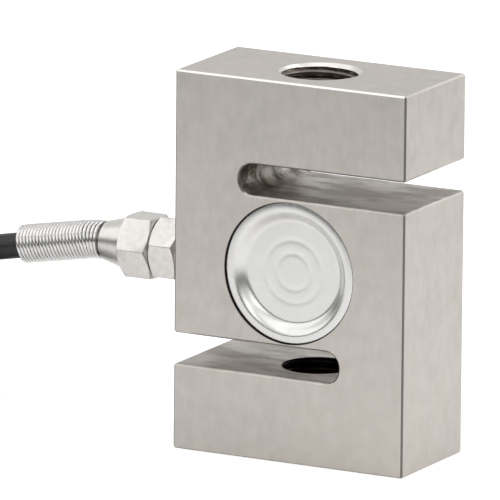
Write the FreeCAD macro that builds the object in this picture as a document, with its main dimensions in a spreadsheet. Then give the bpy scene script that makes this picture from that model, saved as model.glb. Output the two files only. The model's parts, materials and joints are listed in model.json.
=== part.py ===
"""S-type load cell: a steel S-beam with a slot cut in from each side, dished covers over its two
strain-gauge cavities, and a spring-protected cable gland with its cable put away as a hank.

Frame: millimetres, +Z up, origin at the centre of the beam's lower loading face. +X is across the beam's
width, away from the cable, and -Y is the front, where the terminal board sits behind the front cover.
"""
import FreeCAD, Part

import math
import os

import Sketcher
from FreeCAD import Placement, Rotation, Vector

# Driving dimensions, in millimetres and degrees. Each becomes a cell of the sheet "Size".
SIZES = {
    # beam
    "body_width": 50.8,
    "body_depth": 25.4,
    "body_height": 76.2,
    "edge_break": 0.35,
    "arm_height": 17.1,
    "slot_height": 6.3,
    "side_wall": 14.25,
    "slot_corner": 3.0,
    "thread_radius": 7.19,
    "thread_mouth": 8.25,
    # gauge cavities, web and covers
    "cavity_radius": 12.5,
    "web_gauge": 5.0,
    "seat_width": 1.65,
    "seat_depth": 0.95,
    "cover_clearance": 0.15,
    "cover_gauge": 0.6,
    "cover_rim": 1.6,
    "dish_depth": 1.7,
    "dish_slope": 2.3,
    "jumper_hole": 1.2,
    "jumper_hole_x": 9.0,
    "jumper_hole_drop": 5.0,
    # cable port in the left side wall
    "gland_forward": 3.2,
    "gland_drop": 0.4,
    "port_radius": 3.5,
    "port_mouth": 4.0,
    "port_depth": 8.5,
    "passage_radius": 2.25,
    "passage_runout": 0.3,
    "jacket_end": 7.4,
    # gland
    "fit_gap": 0.05,
    "washer_gauge": 1.0,
    "washer_radius": 5.7,
    "collar_length": 1.1,
    "collar_radius": 5.5,
    "hex_flats": 12.0,
    "hex_gap": 0.4,
    "body_hex_length": 5.7,
    "body_hex_turn": 15.0,
    "nut_hex_length": 6.7,
    "nut_hex_turn": 0.0,
    "hex_chamfer_angle": 30.0,
    "gland_thread": 4.9,
    "gland_thread_length": 4.5,
    "port_thread_length": 8.0,
    "seal_radius": 4.1,
    "seal_seat": 4.0,
    "seal_proud": 0.8,
    "thrust_gauge": 0.6,
    "nose_length": 5.35,
    "nose_root": 5.3,
    "nose_tip": 3.95,
    "spigot_clearance": 0.16,
    "spigot_length": 0.8,
    # strain-relief spring
    "wire_radius": 0.37,
    "coil_radius": 3.53,
    "coil_pitch": 0.76,
    "coil_count": 24.0,
    "coil_bend_length": 3.0,
    "coil_droop": 10.2,
    # cable
    "cable_radius": 2.6,
    "core_radius": 0.5,
    "lead_radius": 0.6,
    "lead_knee": 20.0,
    "lead_reach": 30.0,
    "strand_radius": 0.35,
    "tip_length": 6.0,
    "sleeve_gauge": 0.35,
    "sleeve_length": 14.0,
    "sleeve_overlap": 8.0,
    # hank of the spare cable
    "hank_near": 97.5,
    "hank_run": 101.0,
    "hank_bend": 15.6,
    "hank_layers": 4.0,
    "tie_gauge": 0.9,
    "tie_width": 8.0,
    # parts on the web
    "board_gauge": 0.8,
    "board_length": 11.0,
    "board_width": 4.0,
    "board_gap": 0.5,
    "pad_gauge": 0.1,
    "pad_width": 1.4,
    "pad_pitch": 2.4,
    "film_gauge": 0.12,
    "film_length": 9.0,
    "film_width": 8.0,
    "chip_length": 1.6,
    "chip_width": 0.8,
    "chip_gauge": 0.5,
    "jumper_radius": 0.2,
    "jumper_gap": 1.2,
}

doc = FreeCAD.newDocument("load_cell")
sheet = doc.addObject("Spreadsheet::Sheet", "Size")
for row, (alias, number) in enumerate(SIZES.items(), start=1):
    sheet.set(f"A{row}", alias)
    sheet.set(f"B{row}", str(number))
    sheet.setAlias(f"B{row}", alias)
doc.recompute()

# Places that several pieces share, as expressions on the sheet.
MID = "Size.body_height / 2"
GLAND_HEIGHT = f"({MID} - Size.gland_drop)"
HALF_WIDTH = "Size.body_width / 2"
HALF_DEPTH = "Size.body_depth / 2"
WEB_FACE = "Size.web_gauge / 2"
SEAT_RADIUS = "(Size.cavity_radius + Size.seat_width)"
COVER_RADIUS = f"({SEAT_RADIUS} - Size.cover_clearance)"
# Along the gland's axis, counted outward from the beam's left face.
COLLAR_START = "Size.washer_gauge"
BODY_HEX_START = f"({COLLAR_START} + Size.collar_length)"
BODY_HEX_END = f"({BODY_HEX_START} + Size.body_hex_length)"
BODY_END = f"({BODY_HEX_END} + Size.gland_thread_length)"
SEAL_START = f"({BODY_END} - Size.seal_seat)"
SEAL_END = f"({BODY_END} + Size.seal_proud)"
THRUST_END = f"({SEAL_END} + Size.thrust_gauge)"
NUT_HEX_START = f"({BODY_HEX_END} + Size.hex_gap)"
NUT_HEX_END = f"({NUT_HEX_START} + Size.nut_hex_length)"
NOSE_END = f"({NUT_HEX_END} + Size.nose_length)"
SPIGOT_END = f"({NOSE_END} + Size.spigot_length)"
SPIGOT_RADIUS = "(Size.coil_radius - Size.wire_radius - Size.spigot_clearance)"
CABLE_BORE = "(Size.cable_radius + 3 * Size.fit_gap)"


def value(text):
    """The number that an expression on the sheet comes to."""
    found = sheet.evalExpression(text)
    return float(getattr(found, "Value", found))


# ---- building blocks -------------------------------------------------------------------------------


def new_body(name):
    body = doc.addObject("PartDesign::Body", name)
    body.Label = name
    return body


def new_sketch(body, name, role, **offset):
    """A sketch on one of the body's origin planes, moved by expressions in the sketch's own frame."""
    sketch = body.newObject("Sketcher::SketchObject", f"{body.Name}_{name}")
    plane = next(f for f in body.Origin.OriginFeatures if f.Role == role)
    sketch.AttachmentSupport = [(plane, "")]
    sketch.MapMode = "FlatFace"
    for axis, text in offset.items():
        sketch.setExpression(f"AttachmentOffset.Base.{axis}", text)
    doc.recompute()
    return sketch


def pin_point(sketch, geometry, vertex, place):
    """Holds a vertex at a place given by two expressions."""
    for kind, axis, text in zip(("DistanceX", "DistanceY"), (-2, -1), place):
        number = value(text)
        if number == 0:
            sketch.addConstraint(Sketcher.Constraint("PointOnObject", geometry, vertex, axis))
            continue
        at = sketch.addConstraint(Sketcher.Constraint(kind, -1, 1, geometry, vertex, number))
        sketch.setExpression(f"Constraints[{at}]", text)


def outline(sketch, corners):
    """A closed outline of straight lines through corners given as pairs of expressions."""
    at = [Vector(value(x), value(y), 0) for x, y in corners]
    first, count = sketch.GeometryCount, len(at)
    for k in range(count):
        sketch.addGeometry(Part.LineSegment(at[k], at[(k + 1) % count]))
    for k in range(count):
        after = first + (k + 1) % count
        sketch.addConstraint(Sketcher.Constraint("Coincident", first + k, 2, after, 1))
        pin_point(sketch, first + k, 1, corners[k])


def circle(sketch, x, y, radius):
    centre = Vector(value(x), value(y), 0)
    geometry = sketch.addGeometry(Part.Circle(centre, Vector(0, 0, 1), value(radius)))
    pin_point(sketch, geometry, 3, (x, y))
    at = sketch.addConstraint(Sketcher.Constraint("Radius", geometry, value(radius)))
    sketch.setExpression(f"Constraints[{at}]", radius)


def rectangle(sketch, x0, y0, x1, y1):
    outline(sketch, [(x0, y0), (x1, y0), (x1, y1), (x0, y1)])


def racetrack(sketch, run, radius):
    """Two straight runs from x = 0 to x = -run, joined by half circles, about the sketch's H axis."""
    far, wide = value(run), value(radius)
    up, half = Vector(0, 0, 1), math.pi / 2
    upper = sketch.addGeometry(Part.LineSegment(Vector(0, wide, 0), Vector(-far, wide, 0)))
    ends = Part.Circle(Vector(-far, 0, 0), up, wide)
    left = sketch.addGeometry(Part.ArcOfCircle(ends, half, 3 * half))
    lower = sketch.addGeometry(Part.LineSegment(Vector(-far, -wide, 0), Vector(0, -wide, 0)))
    ends = Part.Circle(Vector(0, 0, 0), up, wide)
    right = sketch.addGeometry(Part.ArcOfCircle(ends, -half, half))
    for one, end, other, start in (
        (upper, 2, left, 1), (left, 2, lower, 1), (lower, 2, right, 1), (right, 2, upper, 1)
    ):
        sketch.addConstraint(Sketcher.Constraint("Tangent", one, end, other, start))
    sketch.addConstraint(Sketcher.Constraint("Coincident", right, 3, -1, 1))
    sketch.addConstraint(Sketcher.Constraint("PointOnObject", left, 3, -1))
    sketch.addConstraint(Sketcher.Constraint("Horizontal", upper))
    at = sketch.addConstraint(Sketcher.Constraint("Radius", right, wide))
    sketch.setExpression(f"Constraints[{at}]", radius)
    at = sketch.addConstraint(Sketcher.Constraint("DistanceX", -1, 1, left, 3, -far))
    sketch.setExpression(f"Constraints[{at}]", f"-({run})")


BOUND = ("Length", "Radius", "Size")


def feature(body, kind, name, sketch=None, **settings):
    """A PartDesign feature on the body, with its sizes bound as expressions."""
    made = body.newObject(f"PartDesign::{kind}", f"{body.Name}_{name}")
    if sketch:
        made.Profile = sketch
    for key, setting in settings.items():
        if key in BOUND:
            made.setExpression(key, setting)
        else:
            setattr(made, key, setting)
    doc.recompute()
    body.Tip = made
    return made


def turned(body, kind, name, sketch, axis="H_Axis"):
    return feature(body, kind, name, sketch, ReferenceAxis=(sketch, [axis]), Angle=360)


def edges_where(shape, test):
    return [f"Edge{k}" for k, edge in enumerate(shape.Edges, start=1) if test(edge)]


def near(a, b, within=1e-4):
    return abs(a - b) < within


def all_at(edge, measure, number):
    """Whether every vertex of the edge, and its middle, has that measure."""
    middle = edge.valueAt((edge.FirstParameter + edge.LastParameter) / 2)
    return all(near(measure(p), number) for p in [v.Point for v in edge.Vertexes] + [middle])


def move(body, base, axis=None, angle=None):
    """Places a body by expressions for its base, turned about an axis by a plain angle."""
    if axis is not None:
        body.Placement = Placement(Vector(), Rotation(axis, angle))
    for letter, text in zip("xyz", base):
        body.setExpression(f"Placement.Base.{letter}", text)


def set_shape(name, shape, base=Vector()):
    """A plain feature for a form that neither PartDesign nor the Part primitives fit."""
    made = doc.addObject("Part::Feature", name)
    made.Label = name
    made.Shape = shape
    made.Placement = Placement(base, Rotation())
    return made


# ---- beam ------------------------------------------------------------------------------------------


def beam():
    """The S-beam, cut from one block: slots, thread bores, gauge cavities and the cable port."""
    body = new_body("s_beam_body")
    block = new_sketch(body, "block", "XZ_Plane")
    rectangle(block, f"-{HALF_WIDTH}", "0", HALF_WIDTH, "Size.body_height")
    feature(body, "Pad", "pad", block, SideType="Symmetric", Length="Size.body_depth")

    closed_end = f"({HALF_WIDTH} - Size.side_wall)"
    lower_roof = "(Size.arm_height + Size.slot_height)"
    slots = new_sketch(body, "slots", "XZ_Plane")
    rectangle(slots, "-Size.body_width", "Size.arm_height", closed_end, lower_roof)
    rectangle(
        slots, f"-{closed_end}", f"Size.body_height - {lower_roof}",
        "Size.body_width", "Size.body_height - Size.arm_height",
    )
    cut = feature(body, "Pocket", "slot_cut", slots, SideType="Symmetric", Type="ThroughAll")

    ends = value(closed_end)
    corners = edges_where(cut.Shape, lambda e: along_y(e) and all_at(e, lambda p: abs(p.x), ends))
    feature(body, "Fillet", "slot_ends", Radius="Size.slot_corner", Base=(cut, corners))
    rounded = body.Tip
    face, side = value(HALF_DEPTH), value(HALF_WIDTH)
    sharp = edges_where(
        rounded.Shape,
        lambda e: all_at(e, lambda p: abs(p.y), face)
        or along_y(e) and all_at(e, lambda p: abs(p.x), side),
    )
    feature(body, "Chamfer", "edge_breaks", Base=(rounded, sharp), Size="Size.edge_break")

    thread_bore(body, "lower_thread", "0", "+")
    thread_bore(body, "upper_thread", "Size.body_height", "-")
    gauge_cavities(body)
    cable_port(body)
    return body


def along_y(edge):
    first, last = edge.Vertexes[0].Point, edge.Vertexes[-1].Point
    return near(first.x, last.x) and near(first.z, last.z) and not near(first.y, last.y)


def thread_bore(body, name, face, inward):
    """A loading thread's bore, from its mouth on an end face right through the arm into the slot."""
    def height(depth):
        return f"{face} {inward} ({depth})"

    sketch = new_sketch(body, name, "XZ_Plane")
    outline(sketch, [
        ("0", height("0")),
        ("Size.thread_mouth", height("0")),
        ("Size.thread_radius", height("Size.thread_mouth - Size.thread_radius")),
        ("Size.thread_radius", height("Size.arm_height")),
        ("0", height("Size.arm_height")),
    ])
    turned(body, "Groove", f"{name}_bore", sketch, "V_Axis")


def gauge_cavities(body):
    """A stepped round cavity in the front face, mirrored to the rear, which leaves the shear web between."""
    seat = new_sketch(body, "seat", "XZ_Plane", z=HALF_DEPTH)
    circle(seat, "0", MID, SEAT_RADIUS)
    seat_cut = feature(body, "Pocket", "seat_cut", seat, Length="Size.seat_depth")
    cavity = new_sketch(body, "cavity", "XZ_Plane", z=HALF_DEPTH)
    circle(cavity, "0", MID, "Size.cavity_radius")
    cavity_cut = feature(body, "Pocket", "cavity_cut", cavity, Length=f"{HALF_DEPTH} - {WEB_FACE}")
    plane = next(f for f in body.Origin.OriginFeatures if f.Role == "XZ_Plane")
    mirror = body.newObject("PartDesign::Mirrored", "rear_cavity")
    mirror.Originals = [seat_cut, cavity_cut]
    mirror.MirrorPlane = (plane, [""])
    body.Tip = mirror
    doc.recompute()
    hole = new_sketch(body, "jumper_hole", "XZ_Plane")
    circle(hole, "Size.jumper_hole_x", f"{MID} - Size.jumper_hole_drop", "Size.jumper_hole")
    feature(body, "Pocket", "jumper_cut", hole, SideType="Symmetric", Length="Size.web_gauge")


def cable_port(body):
    """The gland's tapped port in the left side wall, with the passage from it into the front cavity."""
    sketch = new_sketch(body, "port", "XZ_Plane", y=GLAND_HEIGHT, z="Size.gland_forward")
    face = f"-{HALF_WIDTH}"
    floor = f"{face} + Size.port_depth"
    end = "-Size.cavity_radius + Size.passage_runout"
    outline(sketch, [
        (face, "0"),
        (face, "Size.port_mouth"),
        (f"{face} + Size.port_mouth - Size.port_radius", "Size.port_radius"),
        (floor, "Size.port_radius"),
        (floor, "Size.passage_radius"),
        (end, "Size.passage_radius"),
        (end, "0"),
    ])
    turned(body, "Groove", "port_bore", sketch)


# ---- covers ----------------------------------------------------------------------------------------


def cover(name, outward):
    """A dished cover stamped from sheet, whose flat rim lies on the seat round a gauge cavity."""
    body = new_body(name)
    profile = new_sketch(body, "profile", "XZ_Plane")
    rim_inside = f"({COVER_RADIUS} - Size.cover_rim)"
    floor_edge = f"({rim_inside} - Size.dish_slope)"
    outline(profile, [
        ("0", "-Size.dish_depth"),
        (floor_edge, "-Size.dish_depth"),
        (rim_inside, "0"),
        (COVER_RADIUS, "0"),
        (COVER_RADIUS, "-Size.cover_gauge"),
        (f"{rim_inside} - Size.cover_gauge / 4", "-Size.cover_gauge"),
        (f"{floor_edge} - Size.cover_gauge / 4", "-Size.dish_depth - Size.cover_gauge"),
        ("0", "-Size.dish_depth - Size.cover_gauge"),
    ])
    turned(body, "Revolution", "stamping", profile, "V_Axis")
    rim_face = f"({HALF_DEPTH} - Size.seat_depth + Size.cover_gauge)"
    move(body, ("0", f"{outward} * {rim_face}", MID), Vector(1, 0, 0), -90 * outward)


# ---- gland -----------------------------------------------------------------------------------------


def on_gland_axis(body):
    """Places a body whose own X axis is the gland's, counted outward from the beam's left face."""
    move(body, (f"-{HALF_WIDTH}", "-Size.gland_forward", GLAND_HEIGHT), Vector(0, 0, 1), 180)


def hexagon(body, name, start, length, turn):
    """A hexagonal prism about the gland's axis, with both ends chamfered on a lathe."""
    sketch = new_sketch(body, f"{name}_sketch", "YZ_Plane", z=start)
    reach = "Size.hex_flats / 2 / cos(30)"
    outline(sketch, [
        (f"{reach} * cos({turn} + {60 * k})", f"{reach} * sin({turn} + {60 * k})") for k in range(6)
    ])
    feature(body, "Pad", f"{name}_pad", sketch, Length=length)
    proud = f"({reach} - Size.hex_flats / 2)"
    bevel = f"{proud} * tan(Size.hex_chamfer_angle)"
    corner = f"{reach} + {proud}"
    for end, (at, away) in enumerate(((start, "+"), (f"({start} + {length})", "-"))):
        ring = new_sketch(body, f"{name}_bevel{end}", "XY_Plane")
        outline(ring, [
            (at, "Size.hex_flats / 2"),
            (f"{at} {away} 2 * {bevel}", corner),
            (at, corner),
        ])
        turned(body, "Groove", f"{name}_turned{end}", ring)


def revolve(body, kind, name, corners):
    sketch = new_sketch(body, f"{name}_sketch", "XY_Plane")
    outline(sketch, corners)
    turned(body, kind, name, sketch)


def gland_body():
    """Hexagon with a thread for the beam on one side and one for the cap nut on the other."""
    body = new_body("gland_body")
    thread = "Size.port_radius - Size.fit_gap"
    hexagon(body, "hexagon", BODY_HEX_START, "Size.body_hex_length", "Size.body_hex_turn")
    revolve(body, "Revolution", "collar", [
        ("-Size.port_thread_length", "0"),
        ("-Size.port_thread_length", thread),
        (COLLAR_START, thread),
        (COLLAR_START, "Size.collar_radius"),
        (BODY_HEX_START, "Size.collar_radius"),
        (BODY_HEX_START, "0"),
    ])
    revolve(body, "Revolution", "nut_thread", [
        (BODY_HEX_END, "0"),
        (BODY_HEX_END, "Size.gland_thread"),
        (BODY_END, "Size.gland_thread"),
        (BODY_END, "0"),
    ])
    revolve(body, "Groove", "through_bore", [
        ("-Size.port_thread_length", "0"),
        ("-Size.port_thread_length", CABLE_BORE),
        (SEAL_START, CABLE_BORE),
        (SEAL_START, "Size.seal_radius + Size.fit_gap"),
        (BODY_END, "Size.seal_radius + Size.fit_gap"),
        (BODY_END, "0"),
    ])
    on_gland_axis(body)


def gland_nut():
    """Cap nut: hexagon, cone nose and the spigot that carries the strain-relief spring."""
    body = new_body("gland_nut")
    hexagon(body, "hexagon", NUT_HEX_START, "Size.nut_hex_length", "Size.nut_hex_turn")
    revolve(body, "Revolution", "nose", [
        (NUT_HEX_END, "0"),
        (NUT_HEX_END, "Size.nose_root"),
        (NOSE_END, "Size.nose_tip"),
        (NOSE_END, SPIGOT_RADIUS),
        (SPIGOT_END, SPIGOT_RADIUS),
        (SPIGOT_END, "0"),
    ])
    revolve(body, "Groove", "bores", [
        (NUT_HEX_START, "0"),
        (NUT_HEX_START, "Size.gland_thread + Size.fit_gap"),
        (THRUST_END, "Size.gland_thread + Size.fit_gap"),
        (THRUST_END, CABLE_BORE),
        (SPIGOT_END, CABLE_BORE),
        (SPIGOT_END, "0"),
    ])
    on_gland_axis(body)


def ring(name, start, end, inner, outer):
    """A plain ring about the gland's axis."""
    body = new_body(name)
    revolve(body, "Revolution", "ring", [(start, inner), (start, outer), (end, outer), (end, inner)])
    on_gland_axis(body)


# ---- strain-relief spring --------------------------------------------------------------------------

COIL_STEPS = 12
WIRE_SIDES = 6


def spring_axis(along):
    """Place and slope of the spring's bent axis, in the gland's frame, at a length along it."""
    straight, bend = value("Size.spigot_length"), value("Size.coil_bend_length")
    droop = math.radians(value("Size.coil_droop"))
    start = value(NOSE_END) + value("Size.fit_gap") + value("Size.wire_radius")
    if along <= straight:
        return start + along, 0.0, 0.0
    radius = bend / droop
    angle = min((along - straight) / radius, droop)
    out = start + straight + radius * math.sin(angle)
    down = radius * (1 - math.cos(angle))
    rest = max(along - straight - bend, 0.0)
    return out + rest * math.cos(angle), down + rest * math.sin(angle), angle


def spring():
    """Close-wound spring on the nut's spigot, a ruled loft through sections of its wire.

    It droops where it leaves the spigot.
    """
    wire, mean = value("Size.wire_radius"), value("Size.coil_radius")
    pitch, turns = value("Size.coil_pitch"), value("Size.coil_count")
    face = Vector(-value(HALF_WIDTH), -value("Size.gland_forward"), value(GLAND_HEIGHT))
    sections = []
    for step in range(round(turns * COIL_STEPS) + 1):
        out, down, slope = spring_axis(pitch * step / COIL_STEPS)
        along = Vector(-math.cos(slope), 0, -math.sin(slope))
        upward = Vector(-math.sin(slope), 0, math.cos(slope))
        turn = 2 * math.pi * step / COIL_STEPS
        radial = upward * math.cos(turn) + Vector(0, 1, 0) * math.sin(turn)
        centre = face + Vector(-out, 0, -down) + radial * mean
        corners = [
            centre + radial * (wire * math.cos(side)) + along * (wire * math.sin(side))
            for side in (2 * math.pi * (k + 0.5) / WIRE_SIDES for k in range(WIRE_SIDES))
        ]
        sections.append(Part.makePolygon(corners + corners[:1]))
    set_shape("strain_relief_spring", Part.makeLoft(sections, True, True))


# ---- cable, hank and leads -------------------------------------------------------------------------

ARC_SHARE = 0.45
CORD_FLATS = 12
WIRE_FLATS = 8
MITRE = 1


def bent_path(points, held_radius=None):
    """Straight runs joined by tangent arcs, and the arcs' radii.

    Each arc is as large as its runs allow, but a first one that something holds has that thing's radius.
    """
    edges, radii, start = [], [], points[0]
    for before, corner, after in zip(points, points[1:], points[2:]):
        inward, onward = corner - before, after - corner
        turn = inward.getAngle(onward)
        shorter = min(inward.Length, onward.Length)
        radius = ARC_SHARE * shorter / math.tan(turn / 2)
        if held_radius and not radii:
            radius = held_radius
        tangent = radius * math.tan(turn / 2)
        inward.normalize()
        onward.normalize()
        first = corner - inward * tangent
        last = corner + onward * tangent
        bisector = (onward - inward).normalize()
        middle = corner + bisector * (radius / math.cos(turn / 2) - radius)
        edges += [Part.LineSegment(start, first).toShape(), Part.Arc(first, middle, last).toShape()]
        radii.append(radius)
        start = last
    edges.append(Part.LineSegment(start, points[-1]).toShape())
    return Part.Wire(edges), radii


def wire_section(points, radius, flats):
    """A many-sided section square to the first run; its corners lie on the radius."""
    onward = (points[1] - points[0]).normalize()
    side = onward.cross(Vector(0, 1, 0)).normalize() * radius
    corners = [
        points[0] + Rotation(onward, 360 / flats * (k + 0.5)).multVec(side) for k in range(flats)
    ]
    return Part.makePolygon(corners + corners[:1])


def tube(name, points, radius, held_radius=None):
    """A twelve-sided tube along a bent path; its volume is compared with its section times its length."""
    path, radii = bent_path(points, held_radius)
    profile = Part.Face(wire_section(points, radius, CORD_FLATS))
    solid = path.makePipe(profile)
    share = solid.Volume / (profile.Area * path.Length)
    bends = ", ".join(f"{r:.1f}" for r in radii)
    print(f"{name}: length {path.Length:.1f}, radii {bends}, volume share {share:.4f}")
    return solid


def mitred_wire(points, radius):
    """A fine wire as an eight-sided bar through the points, with mitred corners."""
    section = wire_section(points, radius, WIRE_FLATS)
    return Part.makePolygon(points).makePipeShell([section], True, False, MITRE)


def hank_level(layer):
    """Height of the middle of one of the hank's layers."""
    cable = value("Size.cable_radius")
    return value("Size.tie_gauge") + cable * (2 * layer - 1)


def hank():
    """The hank's outer shape: two lanes of turns, with one more turn on top of the inner lane."""
    body = new_body("cable_hank")
    inside = "(Size.hank_bend - Size.cable_radius)"
    stack = "(2 * Size.cable_radius * Size.hank_layers)"
    lanes = new_sketch(body, "lanes", "XY_Plane")
    racetrack(lanes, "Size.hank_run", f"{inside} + 4 * Size.cable_radius")
    racetrack(lanes, "Size.hank_run", inside)
    feature(body, "Pad", "lower_turns", lanes, Length=stack)
    top = new_sketch(body, "top", "XY_Plane", z=stack)
    racetrack(top, "Size.hank_run", f"{inside} + 2 * Size.cable_radius")
    racetrack(top, "Size.hank_run", inside)
    feature(body, "Pad", "top_turn", top, Length="2 * Size.cable_radius")
    move(body, ("-Size.hank_near", "-Size.gland_forward", "Size.tie_gauge"))
    return body


def tie(name, side):
    """A strap round one leg of the hank, slanting down from the single top turn to the outer lane."""
    inner = value("Size.hank_bend - Size.cable_radius")
    cable, gauge = value("Size.cable_radius"), value("Size.tie_gauge")
    layers = value("Size.hank_layers")
    base, shoulder = gauge, gauge + 2 * cable * layers
    x = -value("Size.hank_near + Size.hank_run / 2 - Size.tie_width / 2")
    middle = -value("Size.gland_forward")

    def corner(out, z):
        return Vector(x, middle + side * out, z)

    corners = [
        corner(inner, base),
        corner(inner + 4 * cable, base),
        corner(inner + 4 * cable, shoulder),
        corner(inner + 2 * cable, shoulder + 2 * cable),
        corner(inner, shoulder + 2 * cable),
    ]
    inside = Part.Face(Part.makePolygon(corners + corners[:1]))
    band = inside.makeOffset2D(gauge).cut(inside)
    set_shape(name, band.extrude(Vector(-value("Size.tie_width"), 0, 0)))


def cable_route():
    """From inside the gland, through the spring and down on to the hank's top turn."""
    axis_y, axis_z = -value("Size.gland_forward"), value(GLAND_HEIGHT)
    lane = -value("Size.gland_forward + Size.hank_bend")
    top = hank_level(value("Size.hank_layers") + 1)
    kink = -value(f"{HALF_WIDTH} + {SPIGOT_END} + Size.fit_gap + Size.wire_radius + Size.coil_bend_length / 2")
    return [
        Vector(value(f"Size.jacket_end - {HALF_WIDTH}"), axis_y, axis_z),
        Vector(kink, axis_y, axis_z),
        Vector(-79.0, axis_y, 31.8),
        Vector(-111.0, -12.4, 27.2),
        Vector(-142.0, lane, top),
    ]


def tail_route():
    """Out of the hank's lowest inner turn into the space that its turns enclose."""
    lane = -value("Size.gland_forward + Size.hank_bend")
    return [
        Vector(-112.0, lane, hank_level(1)),
        Vector(-132.0, -13.8, 3.3),
        Vector(-157.0, -8.8, 3.0),
    ]


def cable(coils):
    """The cable's two free stretches, each cut off where the hank's outer shape takes over."""
    radius = value("Size.cable_radius")
    spring_bend = value("Size.coil_bend_length") / math.radians(value("Size.coil_droop"))
    stretches = {
        "cable_tube": tube("cable_tube", cable_route(), radius, spring_bend),
        "cable_tail": tube("cable_tail", tail_route(), radius),
    }
    for name, solid in stretches.items():
        pieces = solid.cut(coils.Shape).Solids
        set_shape(name, max(pieces, key=lambda piece: piece.Volume))


def tail_end():
    """The tail's end point, its direction, and two directions across it."""
    before, end = tail_route()[-2:]
    along = (end - before).normalize()
    across = along.cross(Vector(0, 0, 1)).normalize()
    return end, along, across, across.cross(along)


def shrink_sleeve():
    """Sleeve shrunk over the jacket's end and the first stretch of the cores."""
    end, along, _, _ = tail_end()
    inner = value("Size.cable_radius") + value("Size.fit_gap") / 5
    overlap, length = value("Size.sleeve_overlap"), value("Size.sleeve_length")
    start = end - along * overlap
    outside = Part.makeCylinder(inner + value("Size.sleeve_gauge"), length, start, along)
    set_shape("shrink_sleeve", outside.cut(Part.makeCylinder(inner, length, start, along)))


# Each core: its colour, where its pad lies on the board (in pitches from the middle), its place round the
# cable's axis at the tail, and how far to the side its free end lies.
CORES = {
    "red": (1.5, (1.1, 0.3), 7.0),
    "black": (0.5, (0.6, -1.1), 3.4),
    "green": (-0.5, (-0.7, -1.0), -3.2),
    "white": (-1.5, (-1.1, 0.4), -6.6),
}
DRAIN = ((0.0, 1.2), 0.2)


def lead_path(place, aside, radius):
    """A flying lead's route: out of the sleeve, down to a knee on the floor and on along it."""
    end, along, across, upward = tail_end()
    level = Vector(along.x, along.y, 0)
    on_floor = Vector(end.x, end.y, radius)
    return [
        end + along * radius + across * place[0] + upward * place[1],
        on_floor + level * value("Size.lead_knee") + across * (aside / 2),
        on_floor + level * value("Size.lead_reach") + across * aside,
    ]


def flying_leads():
    """The four cores' free ends with their bared strands, and the screen's drain wire."""
    lead, strand = value("Size.lead_radius"), value("Size.strand_radius")
    tips = []
    for colour, (_, place, aside) in CORES.items():
        points = lead_path(place, aside, lead)
        set_shape(f"lead_{colour}", tube(f"lead_{colour}", points, lead))
        out = (points[-1] - points[-2]).normalize()
        tips.append(mitred_wire([points[-1], points[-1] + out * value("Size.tip_length")], strand))
    set_shape("lead_tips", Part.makeCompound(tips))
    set_shape("drain_wire", tube("drain_wire", lead_path(*DRAIN, strand), strand))


# ---- pieces on the web -----------------------------------------------------------------------------


def film(name, outward):
    """A foil strain gauge on its carrier film, bonded to the middle of the web."""
    body = new_body(name)
    sketch = new_sketch(body, "carrier", "XY_Plane")
    long, wide, clip = "Size.film_length / 2", "Size.film_width / 2", "Size.film_width / 8"
    outline(sketch, [
        (f"-{long} + {clip}", f"-{wide}"), (f"{long} - {clip}", f"-{wide}"),
        (long, f"-{wide} + {clip}"), (long, f"{wide} - {clip}"),
        (f"{long} - {clip}", wide), (f"-{long} + {clip}", wide),
        (f"-{long}", f"{wide} - {clip}"), (f"-{long}", f"-{wide} + {clip}"),
    ])
    feature(body, "Pad", "carrier_pad", sketch, Length="Size.film_gauge")
    move(body, ("0", f"{outward} * {WEB_FACE}", MID), Vector(1, 0, 0), -90 * outward)


BOARD_LEFT = "(-Size.film_length / 2 - Size.board_gap - Size.board_width)"


def terminal_board():
    body = new_body("terminal_board")
    sketch = new_sketch(body, "outline", "XZ_Plane", z=WEB_FACE)
    rectangle(
        sketch, BOARD_LEFT, f"{MID} - Size.board_length / 2",
        f"{BOARD_LEFT} + Size.board_width", f"{MID} + Size.board_length / 2",
    )
    feature(body, "Pad", "laminate", sketch, Length="Size.board_gauge")
    return body


def board_face(lift=0.0):
    return -value(f"{WEB_FACE} + Size.board_gauge") - lift


def pad_places():
    """The four pads' centres on the board, one for each core."""
    x = value(BOARD_LEFT) + value("Size.pad_width / 2") + value("Size.fit_gap")
    return {
        colour: Vector(x, board_face(), value(MID) + row * value("Size.pad_pitch"))
        for colour, (row, _, _) in CORES.items()
    }


def terminal_pads():
    wide, gauge = value("Size.pad_width"), value("Size.pad_gauge")
    pads = [
        Part.makeBox(wide, gauge, wide, at - Vector(wide / 2, gauge, wide / 2))
        for at in pad_places().values()
    ]
    set_shape("terminal_pads", Part.makeCompound(pads))


def trim_resistors():
    """Two small trimming resistors beside the pads."""
    long, wide, tall = (value(f"Size.chip_{key}") for key in ("length", "width", "gauge"))
    x = value(BOARD_LEFT) + value("Size.board_width") - wide - 2 * value("Size.fit_gap")
    chips = [
        Part.makeBox(wide, tall, long, Vector(x, board_face(tall), value(MID) + z - long / 2))
        for z in (-value("Size.pad_pitch"), value("Size.pad_pitch"))
    ]
    set_shape("trim_resistors", Part.makeCompound(chips))


# Where each core lies in the passage, from the gland's axis: forward and up.
IN_PASSAGE = {"red": (0.75, 1.45), "black": (1.3, 0.52), "green": (1.3, -0.52), "white": (0.75, -1.45)}


def cores():
    """The cable's four cores, from the jacket's end through the passage to their pads."""
    radius = value("Size.core_radius")
    pads = pad_places()
    start_x = cable_route()[0].x
    turn_x = -value("Size.cavity_radius - Size.pad_width")
    for colour, (forward, up) in IN_PASSAGE.items():
        y, z = -value("Size.gland_forward") - forward, value(GLAND_HEIGHT) + up
        pad = pads[colour]
        lift = value("Size.pad_gauge") + radius
        points = [
            Vector(start_x, y, z),
            Vector(turn_x, y, z),
            Vector(pad.x + value("Size.pad_width / 2"), pad.y - lift, pad.z),
        ]
        set_shape(f"core_{colour}", mitred_wire(points, radius))


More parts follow.
